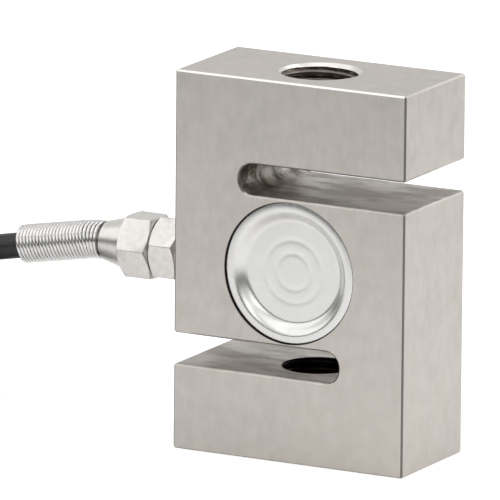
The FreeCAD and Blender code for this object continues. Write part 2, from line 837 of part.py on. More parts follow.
def gauge_jumpers():
    """Enamelled wires between the front gauge and the board, and through the web to the rear gauge."""
    radius, face = value("Size.jumper_radius"), value(WEB_FACE)
    lift, overlap = radius + value("Size.film_gauge"), value("Size.jumper_gap")
    right = value("Size.film_length / 2")
    hole_x, hole_z = value("Size.jumper_hole_x"), value(f"{MID} - Size.jumper_hole_drop")
    board_edge = value(BOARD_LEFT) + value("Size.board_width")
    wires = []
    for side in (1, -1):
        z = value(MID) + side * overlap / 2
        wires.append([
            Vector(board_edge - radius, board_face(radius), z),
            Vector(board_edge + 3 * radius, board_face(radius), z),
            Vector(-right, -face - lift, z),
            Vector(-right + overlap, -face - lift, z),
        ])
        x, z = hole_x + side * overlap / 2, hole_z + (2 + side) * overlap
        wires.append([
            Vector(right - overlap, face + lift, z),
            Vector(x, face + lift, z),
            Vector(x, face + lift, hole_z),
            Vector(x, -face - lift, hole_z),
            Vector(x, -face - lift, z),
            Vector(right - overlap, -face - lift, z),
        ])
    set_shape("gauge_jumpers", Part.makeCompound([mitred_wire(points, radius) for points in wires]))


# ---- the load cell ---------------------------------------------------------------------------------


def build():
    beam()
    cover("front_cover", -1)
    cover("rear_cover", 1)
    gland_body()
    ring("gland_washer", "0", COLLAR_START, "Size.port_radius + Size.fit_gap", "Size.washer_radius")
    ring("gland_seal", SEAL_START, SEAL_END, "Size.cable_radius + Size.fit_gap", "Size.seal_radius")
    ring("thrust_washer", SEAL_END, THRUST_END, CABLE_BORE, "Size.gland_thread - Size.fit_gap")
    gland_nut()
    spring()
    coils = hank()
    doc.recompute()
    cable(coils)
    tie("front_tie", -1)
    tie("rear_tie", 1)
    shrink_sleeve()
    flying_leads()
    terminal_board()
    terminal_pads()
    trim_resistors()
    cores()
    film("front_gauge", -1)
    film("rear_gauge", 1)
    gauge_jumpers()
    doc.recompute()


def sub_parts():
    return [o for o in doc.Objects if o.TypeId in ("PartDesign::Body", "Part::Feature")]


def write_parts():
    """Stops on any failed object or bad shape, then writes one STEP file for each sub-part."""
    failed = [o.Name for o in doc.Objects if {"Invalid", "Error"} & set(o.State)]
    failed += [o.Label for o in sub_parts() if o.Shape.isNull() or not o.Shape.isValid()]
    if failed:
        raise RuntimeError(f"failed: {', '.join(failed)}")
    os.makedirs("parts", exist_ok=True)
    for part in sub_parts():
        part.Shape.exportStep(f"parts/{part.Label}.step")
        print(f"{part.Label}: {len(part.Shape.Solids)} solid, {part.Shape.Volume:.1f} mm3")


build()
write_parts()
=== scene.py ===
"""S-type load cell: steel S-beam, dished covers, spring-protected cable gland and a tied hank of cable."""
import json
import math

import bpy
import bmesh
from mathutils import Matrix, Vector


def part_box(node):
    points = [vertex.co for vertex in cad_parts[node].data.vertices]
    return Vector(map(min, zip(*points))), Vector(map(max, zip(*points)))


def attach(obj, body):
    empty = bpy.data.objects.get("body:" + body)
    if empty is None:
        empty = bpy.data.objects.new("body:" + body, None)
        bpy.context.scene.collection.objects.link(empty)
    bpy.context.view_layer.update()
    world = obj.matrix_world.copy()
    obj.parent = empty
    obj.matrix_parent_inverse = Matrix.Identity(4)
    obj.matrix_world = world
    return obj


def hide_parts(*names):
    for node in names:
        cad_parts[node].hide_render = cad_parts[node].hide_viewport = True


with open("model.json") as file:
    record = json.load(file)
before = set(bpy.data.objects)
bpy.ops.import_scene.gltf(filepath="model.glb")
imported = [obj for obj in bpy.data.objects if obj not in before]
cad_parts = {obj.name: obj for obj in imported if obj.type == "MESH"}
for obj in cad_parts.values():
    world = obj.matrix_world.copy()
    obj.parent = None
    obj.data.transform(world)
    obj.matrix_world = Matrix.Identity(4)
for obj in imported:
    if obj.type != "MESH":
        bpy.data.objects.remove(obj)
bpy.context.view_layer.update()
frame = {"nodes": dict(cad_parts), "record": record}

MM = 0.001
NODES = frame["nodes"]
SLOT_OF = {part["node"]: part["material_slot"] for part in frame["record"]["subparts"]}

# The beam and the cap nut, from the frame. The gland's axis is the nut's.
BEAM_LOW, BEAM_HIGH = (Vector(corner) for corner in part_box("s_beam_body"))
MIDDLE = (BEAM_LOW.z + BEAM_HIGH.z) / 2
NUT_LOW, NUT_HIGH = (Vector(corner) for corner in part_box("gland_nut"))
GLAND_Y, GLAND_Z = (NUT_LOW.y + NUT_HIGH.y) / 2, (NUT_LOW.z + NUT_HIGH.z) / 2

# The slots' flanks, measured up or down from the beam's middle, and the radius of the covers' seats.
SLOT_INNER, SLOT_OUTER = 14.7 * MM, 21.0 * MM
SEAT_RADIUS = 14.15 * MM


# ---- camera, floor and light -----------------------------------------------------------------------

CAMERA_AZIMUTH, CAMERA_ELEVATION, CAMERA_ROLL = (math.radians(a) for a in (28.13, 12.93, 0.49))
CAMERA_DISTANCE = 2.324
CLIP_NEAR, CLIP_FAR = 0.1, 20.0
LENS, SENSOR = 853.3, 36.0
# How far the beam's middle lies right of and above the middle of the view.
FRAMING = (13.51 * MM, -2.22 * MM)

# Each light's azimuth and elevation in degrees, distance and size in metres, and power in watts.
LIGHTS = {
    "key": (-58, 37, 1.6, (1.8, 1.4), 4.4),
    "fill": (25, 32, 2.0, (1.4, 0.8), 3),
    "top": (10, 80, 1.5, (1.4, 1.4), 4),
    "right": (125, 35, 1.6, (1.3, 1.0), 7),
}

# The world's tone by height, behind the object and in front of it, and where it turns from one to the other.
TONE_BEHIND = [(0.0, 0.85), (0.3, 1.0), (1.0, 0.85)]
TONE_AHEAD = [(0.0, 0.03), (0.13, 0.04), (0.30, 0.85), (1.0, 0.85)]
AHEAD_UNTIL, BEHIND_FROM = -0.35, 0.15
WORLD_STRENGTH = 0.8

# The floor's tone and glow for the camera, and, by distance from a centre, the painted pool of light and glow
# that what mirrors it sees.
FLOOR_SIZE = 12
FLOOR_TONE, FLOOR_GLOW = 0.86, 0.45
MIRRORED_CENTRE = (0, 0.1, 0)
MIRRORED_LIGHT_POOL = [(0.0, 0.82), (0.28, 0.82), (0.52, 0.6), (0.9, 0.35)]
MIRRORED_POOL_GLOW = [(0.0, 0.17), (0.28, 0.17), (0.52, 0.08), (0.9, 0.0)]


def aim_matrix(azimuth, elevation, roll=0.0):
    """Columns right, up and back of something that looks at the object from that direction."""
    back = Vector((
        math.sin(azimuth) * math.cos(elevation),
        -math.cos(azimuth) * math.cos(elevation),
        math.sin(elevation),
    ))
    right = Vector((math.cos(azimuth), math.sin(azimuth), 0))
    up = back.cross(right)
    turned_right = math.cos(roll) * right + math.sin(roll) * up
    turned_up = math.cos(roll) * up - math.sin(roll) * right
    return Matrix((turned_right, turned_up, back)).transposed()


def camera():
    """A long lens that looks at the beam's middle from the front right, a little from above."""
    data = bpy.data.cameras.new("camera")
    data.lens, data.sensor_width = LENS, SENSOR
    data.clip_start, data.clip_end = CLIP_NEAR, CLIP_FAR
    made = bpy.data.objects.new("camera", data)
    turn = aim_matrix(CAMERA_AZIMUTH, CAMERA_ELEVATION, CAMERA_ROLL)
    right, up, back = (turn.col[k] for k in range(3))
    place = Vector((0, 0, MIDDLE)) + CAMERA_DISTANCE * back - FRAMING[0] * right - FRAMING[1] * up
    made.matrix_world = Matrix.Translation(place) @ turn.to_4x4()
    bpy.context.collection.objects.link(made)
    bpy.context.scene.camera = made


def area_light(name, azimuth, elevation, distance, size, power):
    """A soft light aimed at the beam's middle, which the camera itself doesn't see."""
    data = bpy.data.lights.new(name, "AREA")
    data.shape = "RECTANGLE"
    data.size, data.size_y = size
    data.energy = power
    made = bpy.data.objects.new(name, data)
    turn = aim_matrix(math.radians(azimuth), math.radians(elevation))
    place = Vector((0, 0, MIDDLE)) + distance * turn.col[2]
    made.matrix_world = Matrix.Translation(place) @ turn.to_4x4()
    made.visible_camera = False
    bpy.context.collection.objects.link(made)


def surround():
    """A pale world, darker low down in front. The camera itself sees plain white."""
    world = bpy.data.worlds.new("studio")
    bpy.context.scene.world = world
    world.use_nodes = True
    tree = Tree(world.node_tree)
    direction = tree.split(tree.add("TexCoord").outputs["Generated"])
    behind = tree.ramp(direction["Z"], TONE_BEHIND)
    ahead = tree.ramp(direction["Z"], TONE_AHEAD)
    tone = tree.mix(tree.fade(direction["Y"], AHEAD_UNTIL, BEHIND_FROM), ahead, behind)
    toned = tree.add("Background", Color=tone, Strength=WORLD_STRENGTH).outputs[0]
    white = tree.add("Background", Color=grey(1.0), Strength=1.0).outputs[0]
    path = tree.add("LightPath").outputs
    tree.add("OutputWorld", Surface=tree.choose(path["Is Camera Ray"], toned, white))


def studio_floor():
    """A white floor. What mirrors it sees a painted pool of light with a glow, brightest near the object and
    darker further out.
    """
    bpy.ops.mesh.primitive_plane_add(size=FLOOR_SIZE)
    floor = bpy.context.object
    floor.name = "floor"
    material = bpy.data.materials.new("floor_white")
    material.use_nodes = True
    tree = Tree(material.node_tree)
    matt = tree.add("BsdfDiffuse", Color=grey(FLOOR_TONE)).outputs[0]
    lifted = tree.glowing(matt, grey(1.0), FLOOR_GLOW)
    # Painted pool of light: glossy rays see the floor brighter and glowing near the object.
    away = tree.distance_from(MIRRORED_CENTRE)
    light_pool = tree.add("BsdfDiffuse", Color=tree.ramp(away, MIRRORED_LIGHT_POOL)).outputs[0]
    mirrored = tree.glowing(light_pool, tree.ramp(away, MIRRORED_POOL_GLOW), 1.0)
    path = tree.add("LightPath").outputs
    unseen = tree.choose(path["Is Glossy Ray"], matt, mirrored)
    tree.add("OutputMaterial", Surface=tree.choose(path["Is Camera Ray"], unseen, lifted))
    floor.data.materials.append(material)


# ---- shader trees ----------------------------------------------------------------------------------


def grey(level):
    return (level, level, level, 1.0)


class Tree:
    """Short calls for building a node tree."""

    def __init__(self, tree):
        self.tree = tree
        tree.nodes.clear()

    def add(self, kind, by_number=None, **values):
        """A node whose inputs, by name or number, are linked to sockets or set to plain values.

        A name that no input has is the node's own property.
        """
        node = self.tree.nodes.new("ShaderNode" + kind)
        for key, given in {**values, **(by_number or {})}.items():
            if isinstance(key, str) and key not in node.inputs:
                setattr(node, key, given)
            elif isinstance(given, bpy.types.NodeSocket):
                self.tree.links.new(given, node.inputs[key])
            else:
                node.inputs[key].default_value = given
        return node

    def maths(self, operation, a, b=0.0):
        return self.add("Math", {0: a, 1: b}, operation=operation).outputs[0]

    def vector_maths(self, operation, a, b=(0, 0, 0)):
        return self.add("VectorMath", {0: a, 1: b}, operation=operation).outputs

    def mix(self, factor, a, b):
        """One colour or another, by a factor from 0 to 1."""
        return self.add("Mix", {0: factor, 6: a, 7: b}, data_type="RGBA").outputs[2]

    def choose(self, factor, a, b):
        """One shader or another, by a factor from 0 to 1."""
        return self.add("MixShader", {0: factor, 1: a, 2: b}).outputs[0]

    def glowing(self, shader, colour, strength):
        """A shader with an even glow added."""
        glow = self.add("Emission", Color=colour, Strength=strength).outputs[0]
        return self.add("AddShader", {0: shader, 1: glow}).outputs[0]

    def ramp(self, factor, stops):
        """A grey that follows a factor through pairs of position and level."""
        node = self.add("ValToRGB", {0: factor})
        elements = node.color_ramp.elements
        while len(elements) < len(stops):
            elements.new(0.5)
        for element, (position, level) in zip(elements, stops):
            element.position, element.color = position, grey(level)
        return node.outputs["Color"]

    def fade(self, source, start, end, low=0.0, high=1.0):
        """A signal that goes from low to high while the source goes from start to end."""
        return self.add("MapRange", {0: source, 1: start, 2: end, 3: low, 4: high}).outputs[0]

    def between(self, noise, low, high):
        """A noise, which seldom leaves its middle half, spread between two levels."""
        return self.fade(noise, 0.25, 0.75, low, high)

    def place(self):
        """Where the shaded point is, in the object's own metres."""
        return self.add("TexCoord").outputs["Object"]

    def split(self, vector):
        return self.add("SeparateXYZ", Vector=vector).outputs

    def distance_from(self, centre, axes=(1, 1, 1)):
        """The shaded point's distance from a centre, along the axes that count."""
        offset = self.vector_maths("SUBTRACT", self.place(), centre)[0]
        kept = self.vector_maths("MULTIPLY", offset, axes)[0]
        return self.vector_maths("LENGTH", kept)["Value"]

    def noise(self, stretch, scale, detail, turn=(0, 0, 0)):
        """Noise in the object's own metres; a small factor draws its cells out along that axis."""
        mapped = self.add("Mapping", Vector=self.place(), Rotation=turn, Scale=stretch).outputs[0]
        node = self.add("TexNoise", Vector=mapped, Scale=scale, Detail=detail, Roughness=0.6)
        return node.outputs["Fac"]

    def bump(self, height, distance, strength=0.5):
        return self.add("Bump", Height=height, Distance=distance, Strength=strength).outputs[0]


def new_material(name, **constants):
    """A Principled material with plain values on its sockets, and its tree."""
    material = bpy.data.materials.new(name)
    material.use_nodes = True
    tree = Tree(material.node_tree)
    shader = tree.add("BsdfPrincipled")
    for key, number in constants.items():
        shader.inputs[key].default_value = number
    tree.add("OutputMaterial", Surface=shader.outputs[0])
    return material, tree, shader


def join(tree, shader, colour, roughness, normal=None):
    """Links the outputs that drive a Principled shader."""
    tree.tree.links.new(colour, shader.inputs["Base Color"])
    tree.tree.links.new(roughness, shader.inputs["Roughness"])
    if normal is not None:
        tree.tree.links.new(normal, shader.inputs["Normal"])


# ---- materials -------------------------------------------------------------------------------------

# How far the ground grain is drawn out, and how fine it is.
GRAIN_DRAWN, GRAIN_SCALE = 0.035, 5200
# A face is level from this upward part of its normal, and an edge from this product of two parts.
LEVEL_FROM, EDGE_FROM = 0.7, 0.3
# How deep the painted highlights on the beam's top edges and on the cone of a bore's mouth reach.
TOP_EDGE_DEPTH, MOUTH_DEPTH = 1.0 * MM, 0.75 * MM
# How far a slot's smears and painted shade creep past its flank, are at full strength within it, and stop
# short of the faces.
SMEAR_SHADE_CREEP, SMEAR_SHADE_FULL, SMEAR_SHADE_MARGIN = 0.4 * MM, 0.1 * MM, 0.15 * MM
# Along X, where a slot's painted shade starts to deepen and where it is darkest, towards the closed end.
END_SHADE_START, END_SHADE_DARKEST = 8.0 * MM, -13.0 * MM
# The painted shade round a cover's gap: how far its line lies outside the seat, how wide it fades and how
# dark it is.
GAP_SHADE_OUT, GAP_SHADE_WIDTH, GAP_SHADE_STRENGTH = 0.04 * MM, 0.1 * MM, 0.9


def ground_steel():
    """Ground faces: grain along Z on the upright faces and along X on the level ones, softly mottled."""
    material, tree, shader = new_material("ground_steel", Metallic=1.0, Anisotropic=0.35)
    facing = tree.split(tree.add("NewGeometry").outputs["Normal"])
    level = tree.maths("GREATER_THAN", tree.maths("ABSOLUTE", facing["Z"]), LEVEL_FROM)
    upright_grain = tree.noise((1.0, 1.0, GRAIN_DRAWN), GRAIN_SCALE, 4.0)
    level_grain = tree.noise((GRAIN_DRAWN, 1.0, 1.0), GRAIN_SCALE, 4.0)
    grain = tree.mix(level, upright_grain, level_grain)
    mottle = tree.noise((1.0, 1.0, 0.8), 380, 5.0)
    cloud = tree.noise((1.0, 1.0, 0.5), 45, 4.0)
    tint = tree.noise((1.0, 1.0, 0.6), 75, 3.0)
    coarse = tree.noise((1.0, 1.0, 0.12), 900, 2.0)

    base = tree.mix(tree.between(grain, 0.0, 1.0), (0.56, 0.53, 0.49, 1), (0.72, 0.69, 0.65, 1))
    toned = tree.mix(tree.between(mottle, 0.0, 0.85), base, (0.49, 0.465, 0.43, 1))
    clouded = tree.mix(tree.between(cloud, 0.0, 0.5), toned, (0.69, 0.645, 0.595, 1))
    tinted = tree.mix(tree.between(tint, 0.0, 0.45), clouded, (0.655, 0.597, 0.56, 1))
    streaked = tree.mix(tree.between(coarse, 0.0, 0.10), tinted, (0.76, 0.73, 0.69, 1))
    # Painted highlight along the long edges of the top face.
    bright = tree.mix(top_edges(tree, facing), streaked, (0.92, 0.90, 0.87, 1))
    # Painted dark reflection on the upright edges, where X and Y faces meet.
    edge_shaded = tree.mix(edge_between(tree, facing["X"], facing["Y"]), bright, (0.20, 0.19, 0.175, 1))
    # Smears with painted shade inside the slots.
    smear_and_shade_tone = tree.mix(tree.between(tint, 0.0, 1.0), (0.085, 0.08, 0.07, 1), (0.17, 0.115, 0.085, 1))
    smeared_and_shaded = tree.mix(slot_smears_and_shade(tree), edge_shaded, smear_and_shade_tone)
    # Painted shade round the covers' gaps.
    gap_shaded = tree.mix(seat_gap_shade(tree), smeared_and_shaded, (0.03, 0.03, 0.03, 1))

    uneven = tree.maths("ADD", tree.maths("MULTIPLY", grain, 0.6), tree.maths("MULTIPLY", mottle, 0.4))
    join(tree, shader, gap_shaded, tree.between(uneven, 0.34, 0.48), tree.bump(grain, 0.02 * MM))
    return material


def edge_between(tree, a, b):
    """1 on an edge whose normal leans two ways at once, and 0 on the faces that meet there."""
    lean = tree.maths("ABSOLUTE", tree.maths("MULTIPLY", a, b))
    return tree.maths("GREATER_THAN", lean, EDGE_FROM)


def top_edges(tree, facing):
    """1 on the long edges of the beam's top face, where a painted highlight goes."""
    height = tree.split(tree.place())["Z"]
    at_top = tree.maths("GREATER_THAN", height, BEAM_HIGH.z - TOP_EDGE_DEPTH)
    return tree.maths("MULTIPLY", edge_between(tree, facing["Z"], facing["Y"]), at_top)


def slot_smears_and_shade(tree):
    """How dark the burnt-in smears and the painted shade inside the two wire-cut slots are, strongest at
    their closed ends.
    """
    place = tree.split(tree.place())
    up = tree.maths("SUBTRACT", place["Z"], MIDDLE)
    height = tree.maths("ABSOLUTE", up)
    masks = [
        tree.fade(height, SLOT_INNER - SMEAR_SHADE_CREEP, SLOT_INNER + SMEAR_SHADE_FULL),
        tree.fade(height, SLOT_OUTER + SMEAR_SHADE_CREEP, SLOT_OUTER - SMEAR_SHADE_FULL),
    ]
    for axis, reach in (("X", BEAM_HIGH.x), ("Y", BEAM_HIGH.y)):
        masks.append(tree.maths("LESS_THAN", tree.maths("ABSOLUTE", place[axis]), reach - SMEAR_SHADE_MARGIN))
    # The upper slot is closed at low X and the lower one at high X.
    along = tree.maths("MULTIPLY", place["X"], tree.maths("SIGN", up))
    # Painted shade: darker towards each slot's closed end.
    closed = tree.fade(along, END_SHADE_START, END_SHADE_DARKEST)
    smear = tree.noise((0.35, 1.0, 1.0), 170, 4.0, turn=(0, 0, 0.5))
    patchy = tree.fade(smear, 0.44, 0.56, 0.12, 1.0)
    smear_shade_level = tree.maths("MULTIPLY", patchy, tree.maths("ADD", tree.maths("MULTIPLY", closed, 0.4), 0.6))
    for mask in masks:
        smear_shade_level = tree.maths("MULTIPLY", smear_shade_level, mask)
    return smear_shade_level


def seat_gap_shade(tree):
    """A thin line of painted shade, widening the dark gap round each cover."""
    away = tree.distance_from((0, 0, MIDDLE), axes=(1, 0, 1))
    edge = SEAT_RADIUS + GAP_SHADE_OUT
    return tree.fade(away, edge + GAP_SHADE_WIDTH, edge, 0.0, GAP_SHADE_STRENGTH)


def thread_steel(name, low, high):
    """Cut threads: steel darkened inside by painted shade, with a painted highlight on the cone of the mouth.
    """
    material, tree, shader = new_material(name, Metallic=1.0)
    smear = tree.noise((1.0, 1.0, 1.0), 600, 3.0)
    shaded_threads = tree.mix(tree.between(smear, 0.0, 1.0), low, high)
    height = tree.split(tree.place())["Z"]
    away = tree.maths("ABSOLUTE", tree.maths("SUBTRACT", height, MIDDLE))
    mouth = tree.maths("GREATER_THAN", away, BEAM_HIGH.z - MIDDLE - MOUTH_DEPTH)
    # Painted highlight on the cone of the mouth, over the painted shade inside.
    join(tree, shader, tree.mix(mouth, shaded_threads, (0.80, 0.77, 0.73, 1)), tree.between(smear, 0.26, 0.42))
    return material


def pressed_steel():
    """Bright sheet, a little orange-peeled by the press."""
    material, tree, shader = new_material("pressed_steel", Metallic=1.0)
    wide = tree.noise((1, 1, 1), 210, 2.0)
    colour = tree.mix(tree.between(wide, 0.0, 1.0), (0.73, 0.725, 0.715, 1), (0.81, 0.805, 0.79, 1))
    join(tree, shader, colour, tree.between(wide, 0.24, 0.29), tree.bump(wide, 0.04 * MM))
    return material


def bright_metal(name, low, high, rough):
    """Plated, turned or drawn metal with fine lines round the X axis."""
    material, tree, shader = new_material(name, Metallic=1.0)
    lines = tree.noise((1.0, 0.08, 0.08), 3800, 3.0)
    cloud = tree.noise((1, 1, 1), 800, 4.0)
    colour = tree.mix(tree.between(cloud, 0.0, 1.0), low, high)
    join(tree, shader, colour, tree.between(lines, *rough), tree.bump(lines, 0.01 * MM, 0.6))
    return material


def polymer(name, low, high, rough, scale=700, depth=0.03 * MM):
    """Moulded or extruded polymer with a slightly uneven skin."""
    material, tree, shader = new_material(name)
    skin = tree.noise((1, 1, 1), scale, 4.0)
    colour = tree.mix(tree.between(skin, 0.0, 1.0), low, high)
    join(tree, shader, colour, tree.between(skin, *rough), tree.bump(skin, depth))
    return material


# For each slot: the material's name, its darker and lighter colour and its range of roughness.
METALS = {
    "gland_nickel": ("satin_nickel", (0.66, 0.64, 0.61, 1), (0.83, 0.805, 0.775, 1), (0.26, 0.36)),
    "washer_nickel": ("washer_nickel", (0.56, 0.55, 0.53, 1), (0.70, 0.69, 0.67, 1), (0.25, 0.4)),
    "spring_steel": ("drawn_wire", (0.68, 0.67, 0.66, 1), (0.84, 0.83, 0.82, 1), (0.15, 0.24)),
    "tinned_strand": ("tinned_wire", (0.55, 0.55, 0.53, 1), (0.74, 0.74, 0.72, 1), (0.25, 0.40)),
}
# For each slot: the darker and lighter colour, the range of roughness and, for a coarse skin, its scale
# and depth.
POLYMERS = {
    "seal_rubber": ((0.02, 0.02, 0.02, 1), (0.05, 0.05, 0.05, 1), (0.55, 0.7)),
    "cable_jacket": ((0.008, 0.008, 0.010, 1), (0.018, 0.018, 0.021, 1), (0.32, 0.45)),
    "tie_black": ((0.03, 0.03, 0.03, 1), (0.06, 0.06, 0.06, 1), (0.6, 0.8), 2400, 0.1 * MM),
    "sleeve_black": ((0.02, 0.02, 0.02, 1), (0.045, 0.045, 0.045, 1), (0.4, 0.55)),
    "core_red": ((0.48, 0.03, 0.025, 1), (0.62, 0.05, 0.04, 1), (0.3, 0.4)),
    "core_black": ((0.015, 0.015, 0.015, 1), (0.035, 0.035, 0.035, 1), (0.3, 0.4)),
    "core_green": ((0.03, 0.25, 0.08, 1), (0.04, 0.36, 0.12, 1), (0.3, 0.4)),
    "core_white": ((0.74, 0.74, 0.71, 1), (0.86, 0.86, 0.84, 1), (0.3, 0.4)),
    "board_laminate": ((0.04, 0.18, 0.09, 1), (0.06, 0.27, 0.14, 1), (0.3, 0.45)),
    "chip_black": ((0.03, 0.03, 0.03, 1), (0.05, 0.05, 0.05, 1), (0.4, 0.5)),
    "gauge_film": ((0.55, 0.34, 0.11, 1), (0.70, 0.46, 0.18, 1), (0.25, 0.35)),
}


def materials():
    """One material for each of the record's slots."""
    made = {"beam_steel": ground_steel(), "cover_steel": pressed_steel()}
    made.update({slot: bright_metal(*look) for slot, look in METALS.items()})
    made.update({slot: polymer(slot, *look) for slot, look in POLYMERS.items()})
    made["pad_tin"] = made["tinned_strand"]
    return made


# ---- mesh building ---------------------------------------------------------------------------------


def make_piece(name, mesh, material, node=None, smooth_angle=30):
    """Links a mesh as a piece on the one body, standing for a CAD node or, without one, with its own slot."""
    made = bpy.data.objects.new(name, mesh)
    bpy.context.collection.objects.link(made)
    mesh.materials.clear()
    mesh.materials.append(material)
    mesh.shade_smooth()
    mesh.set_sharp_from_angle(angle=math.radians(smooth_angle))
    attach(made, "root")
    if node:
        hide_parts(node)


def grid_mesh(name, rows):
    """A mesh through rings of points, each ring joined to the next."""
    count = len(rows[0])
    mesh = bpy.data.meshes.new(name)
    points = [tuple(p) for row in rows for p in row]
    faces = [
        (r * count + k, r * count + (k + 1) % count, (r + 1) * count + (k + 1) % count, (r + 1) * count + k)
        for r in range(len(rows) - 1) for k in range(count)
    ]
    mesh.from_pydata(points, [], faces)
    return mesh


def outward(mesh):
    """Closes a mesh's open ends and makes its faces look outward."""
    made = bmesh.new()
    made.from_mesh(mesh)
    bmesh.ops.remove_doubles(made, verts=made.verts, dist=1e-7)
    bmesh.ops.holes_fill(made, edges=[e for e in made.edges if e.is_boundary])
    bmesh.ops.recalc_face_normals(made, faces=made.faces)
    made.to_mesh(mesh)
    made.free()
    return mesh


def ring_angles(count):
    """Evenly spaced angles once round, in radians."""
    return [2 * math.pi * k / count for k in range(count)]


# ---- beam ------------------------------------------------------------------------------------------

THREAD_PITCH = 1.5 * MM
THREAD_DEPTH = 0.81 * MM
# The flat crest's share of the pitch.
CREST_SHARE = 0.2
BORE_ROUND, ROWS_PER_TURN = 96, 14
# How near a point has to lie to the top face or to the mouth's rim to count as on it.
ON_FACE, ON_RIM = 0.01 * MM, 0.02 * MM
FLAT_FACE = 0.9


def bore_radius(depth, angle, mouth, minor, inward):
    """The bore's radius at a depth: thread ridges, cut back by the cone of the mouth."""
    phase = (depth / THREAD_PITCH - inward * angle / (2 * math.pi)) % 1.0
    ridge = min(1.0, (0.5 - abs(phase - 0.5)) / (0.5 - CREST_SHARE / 2))
    return max(minor + THREAD_DEPTH * (1.0 - ridge), mouth - depth)


def threaded_bore(face_z, inward, mouth, minor, length):
    """Rings of points down a threaded bore, from the mouth's rim to the far end."""
    count = round(length / THREAD_PITCH * ROWS_PER_TURN)
    angles = ring_angles(BORE_ROUND)
    rows = [[(mouth * math.cos(a), mouth * math.sin(a), face_z) for a in angles]]
    for k in range(1, count + 1):
        depth = length * k / count
        row = []
        for angle in angles:
            radius = bore_radius(depth, angle, mouth, minor, inward)
            row.append((radius * math.cos(angle), radius * math.sin(angle), face_z + inward * depth))
        rows.append(row)
    return rows


def beam():
    """The CAD beam with its two plain bores opened out into threads."""
    mount = next(m for m in frame["record"]["mounts"] if m["name"] == "upper_thread")
    minor, wall_length = mount["dims"]["r_mm"] * MM, mount["dims"]["length_mm"] * MM
    mesh = NODES["s_beam_body"].data.copy()
    made = bmesh.new()
    made.from_mesh(mesh)
    mouth = min(v.co.xy.length for v in made.verts if abs(v.co.z - BEAM_HIGH.z) < ON_FACE)
    arm = wall_length + mouth - minor
    bore_faces = [
        f for f in made.faces
        if all(v.co.xy.length < mouth + ON_RIM for v in f.verts)
        and abs(f.normal.z) < FLAT_FACE
        and abs(f.calc_center_median().z - MIDDLE) > BEAM_HIGH.z - arm - MIDDLE
    ]
    bmesh.ops.delete(made, geom=bore_faces, context="FACES")
    made.to_mesh(mesh)
    made.free()
    make_piece("s_beam", mesh, MATERIALS["beam_steel"], "s_beam_body", smooth_angle=25)
    # Painted shade in the bores: dark in the upper one, near black in the lower one.
    shaded_threads = thread_steel("upper_thread_steel", (0.12, 0.10, 0.085, 1), (0.26, 0.235, 0.21, 1))
    black = thread_steel("lower_thread_steel", (0.015, 0.014, 0.012, 1), (0.05, 0.047, 0.042, 1))
    for name, face, inward, steel in (("upper", BEAM_HIGH.z, -1, shaded_threads), ("lower", BEAM_LOW.z, 1, black)):
        rows = threaded_bore(face, inward, mouth, minor, arm)
        threads = grid_mesh(f"{name}_thread_turns", rows)
        if inward > 0:
            threads.flip_normals()
        make_piece(f"{name}_thread_turns", threads, steel, smooth_angle=60)


# ---- covers ----------------------------------------------------------------------------------------

COVER_GAUGE, COVER_DISH = 0.6 * MM, 1.7 * MM
COVER_RIM, COVER_SLOPE = 1.6 * MM, 2.3 * MM
# The show side's soft wall starts at a share of the wall's foot and runs on past the wall's top.
FLOOR_SHARE, WALL_OVERRUN, RIM_START = 0.985, 0.3 * MM, 0.35 * MM
# The rim's outer edge is rounded, with one point on the round.
EDGE_ROUND, EDGE_CUT = 0.15 * MM, 0.04 * MM
# The faint pressed rings: their share of the floor's radius, and their depth and width.
RING_SHARES = (0.36, 0.62)
RING_DEPTH, RING_WIDTH = 0.045 * MM, 0.5 * MM
FLOOR_STEPS, WALL_STEPS, COVER_ROUND = 44, 24, 160


def cover_profile(radius):
    """Pairs of radius and height over the rim: out along the show side, then back along the hidden side."""
    wall_top = radius - COVER_RIM
    wall_foot = wall_top - COVER_SLOPE
    floor_end, wall_end = wall_foot * FLOOR_SHARE, wall_top + WALL_OVERRUN
    profile = []
    for k in range(FLOOR_STEPS + 1):
        r = floor_end * k / FLOOR_STEPS
        pressed = sum(math.exp(-((r - share * wall_foot) / RING_WIDTH) ** 2) for share in RING_SHARES)
        profile.append((r, -COVER_DISH - RING_DEPTH * pressed))
    for k in range(1, WALL_STEPS):
        share = k / WALL_STEPS
        risen = 0.5 - 0.5 * math.cos(math.pi * share)
        profile.append((floor_end + (wall_end - floor_end) * share, -COVER_DISH * (1 - risen)))
    profile += [(wall_top + RIM_START, 0.0), (radius - EDGE_ROUND, 0.0)]
    profile += [(radius - EDGE_CUT, -EDGE_CUT), (radius, -EDGE_ROUND), (radius, -COVER_GAUGE)]
    profile += [(wall_top, -COVER_GAUGE), (wall_foot, -COVER_DISH - COVER_GAUGE)]
    profile += [(0.0, -COVER_DISH - COVER_GAUGE)]
    return profile


def cover(name, node, side):
    """A pressed cover turned from its profile, facing the front (-1) or the rear (1)."""
    low, high = (Vector(corner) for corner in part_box(node))
    face = high.y if side > 0 else -low.y
    angles = ring_angles(COVER_ROUND)
    rows = [
        [(r * math.cos(a), side * (face + height), MIDDLE + r * math.sin(a)) for a in angles]
        for r, height in cover_profile((high.x - low.x) / 2)
    ]
    make_piece(name, outward(grid_mesh(name, rows)), MATERIALS["cover_steel"], node, smooth_angle=35)


# ---- gland -----------------------------------------------------------------------------------------

HEX_FLATS = 12.0 * MM
HEX_CHAMFER = math.radians(30)
BODY_CORNER, NUT_CORNER = math.radians(45), math.radians(30)
# The higher this power, the sharper the hexagon's corners.
CORNER_POWER = 110
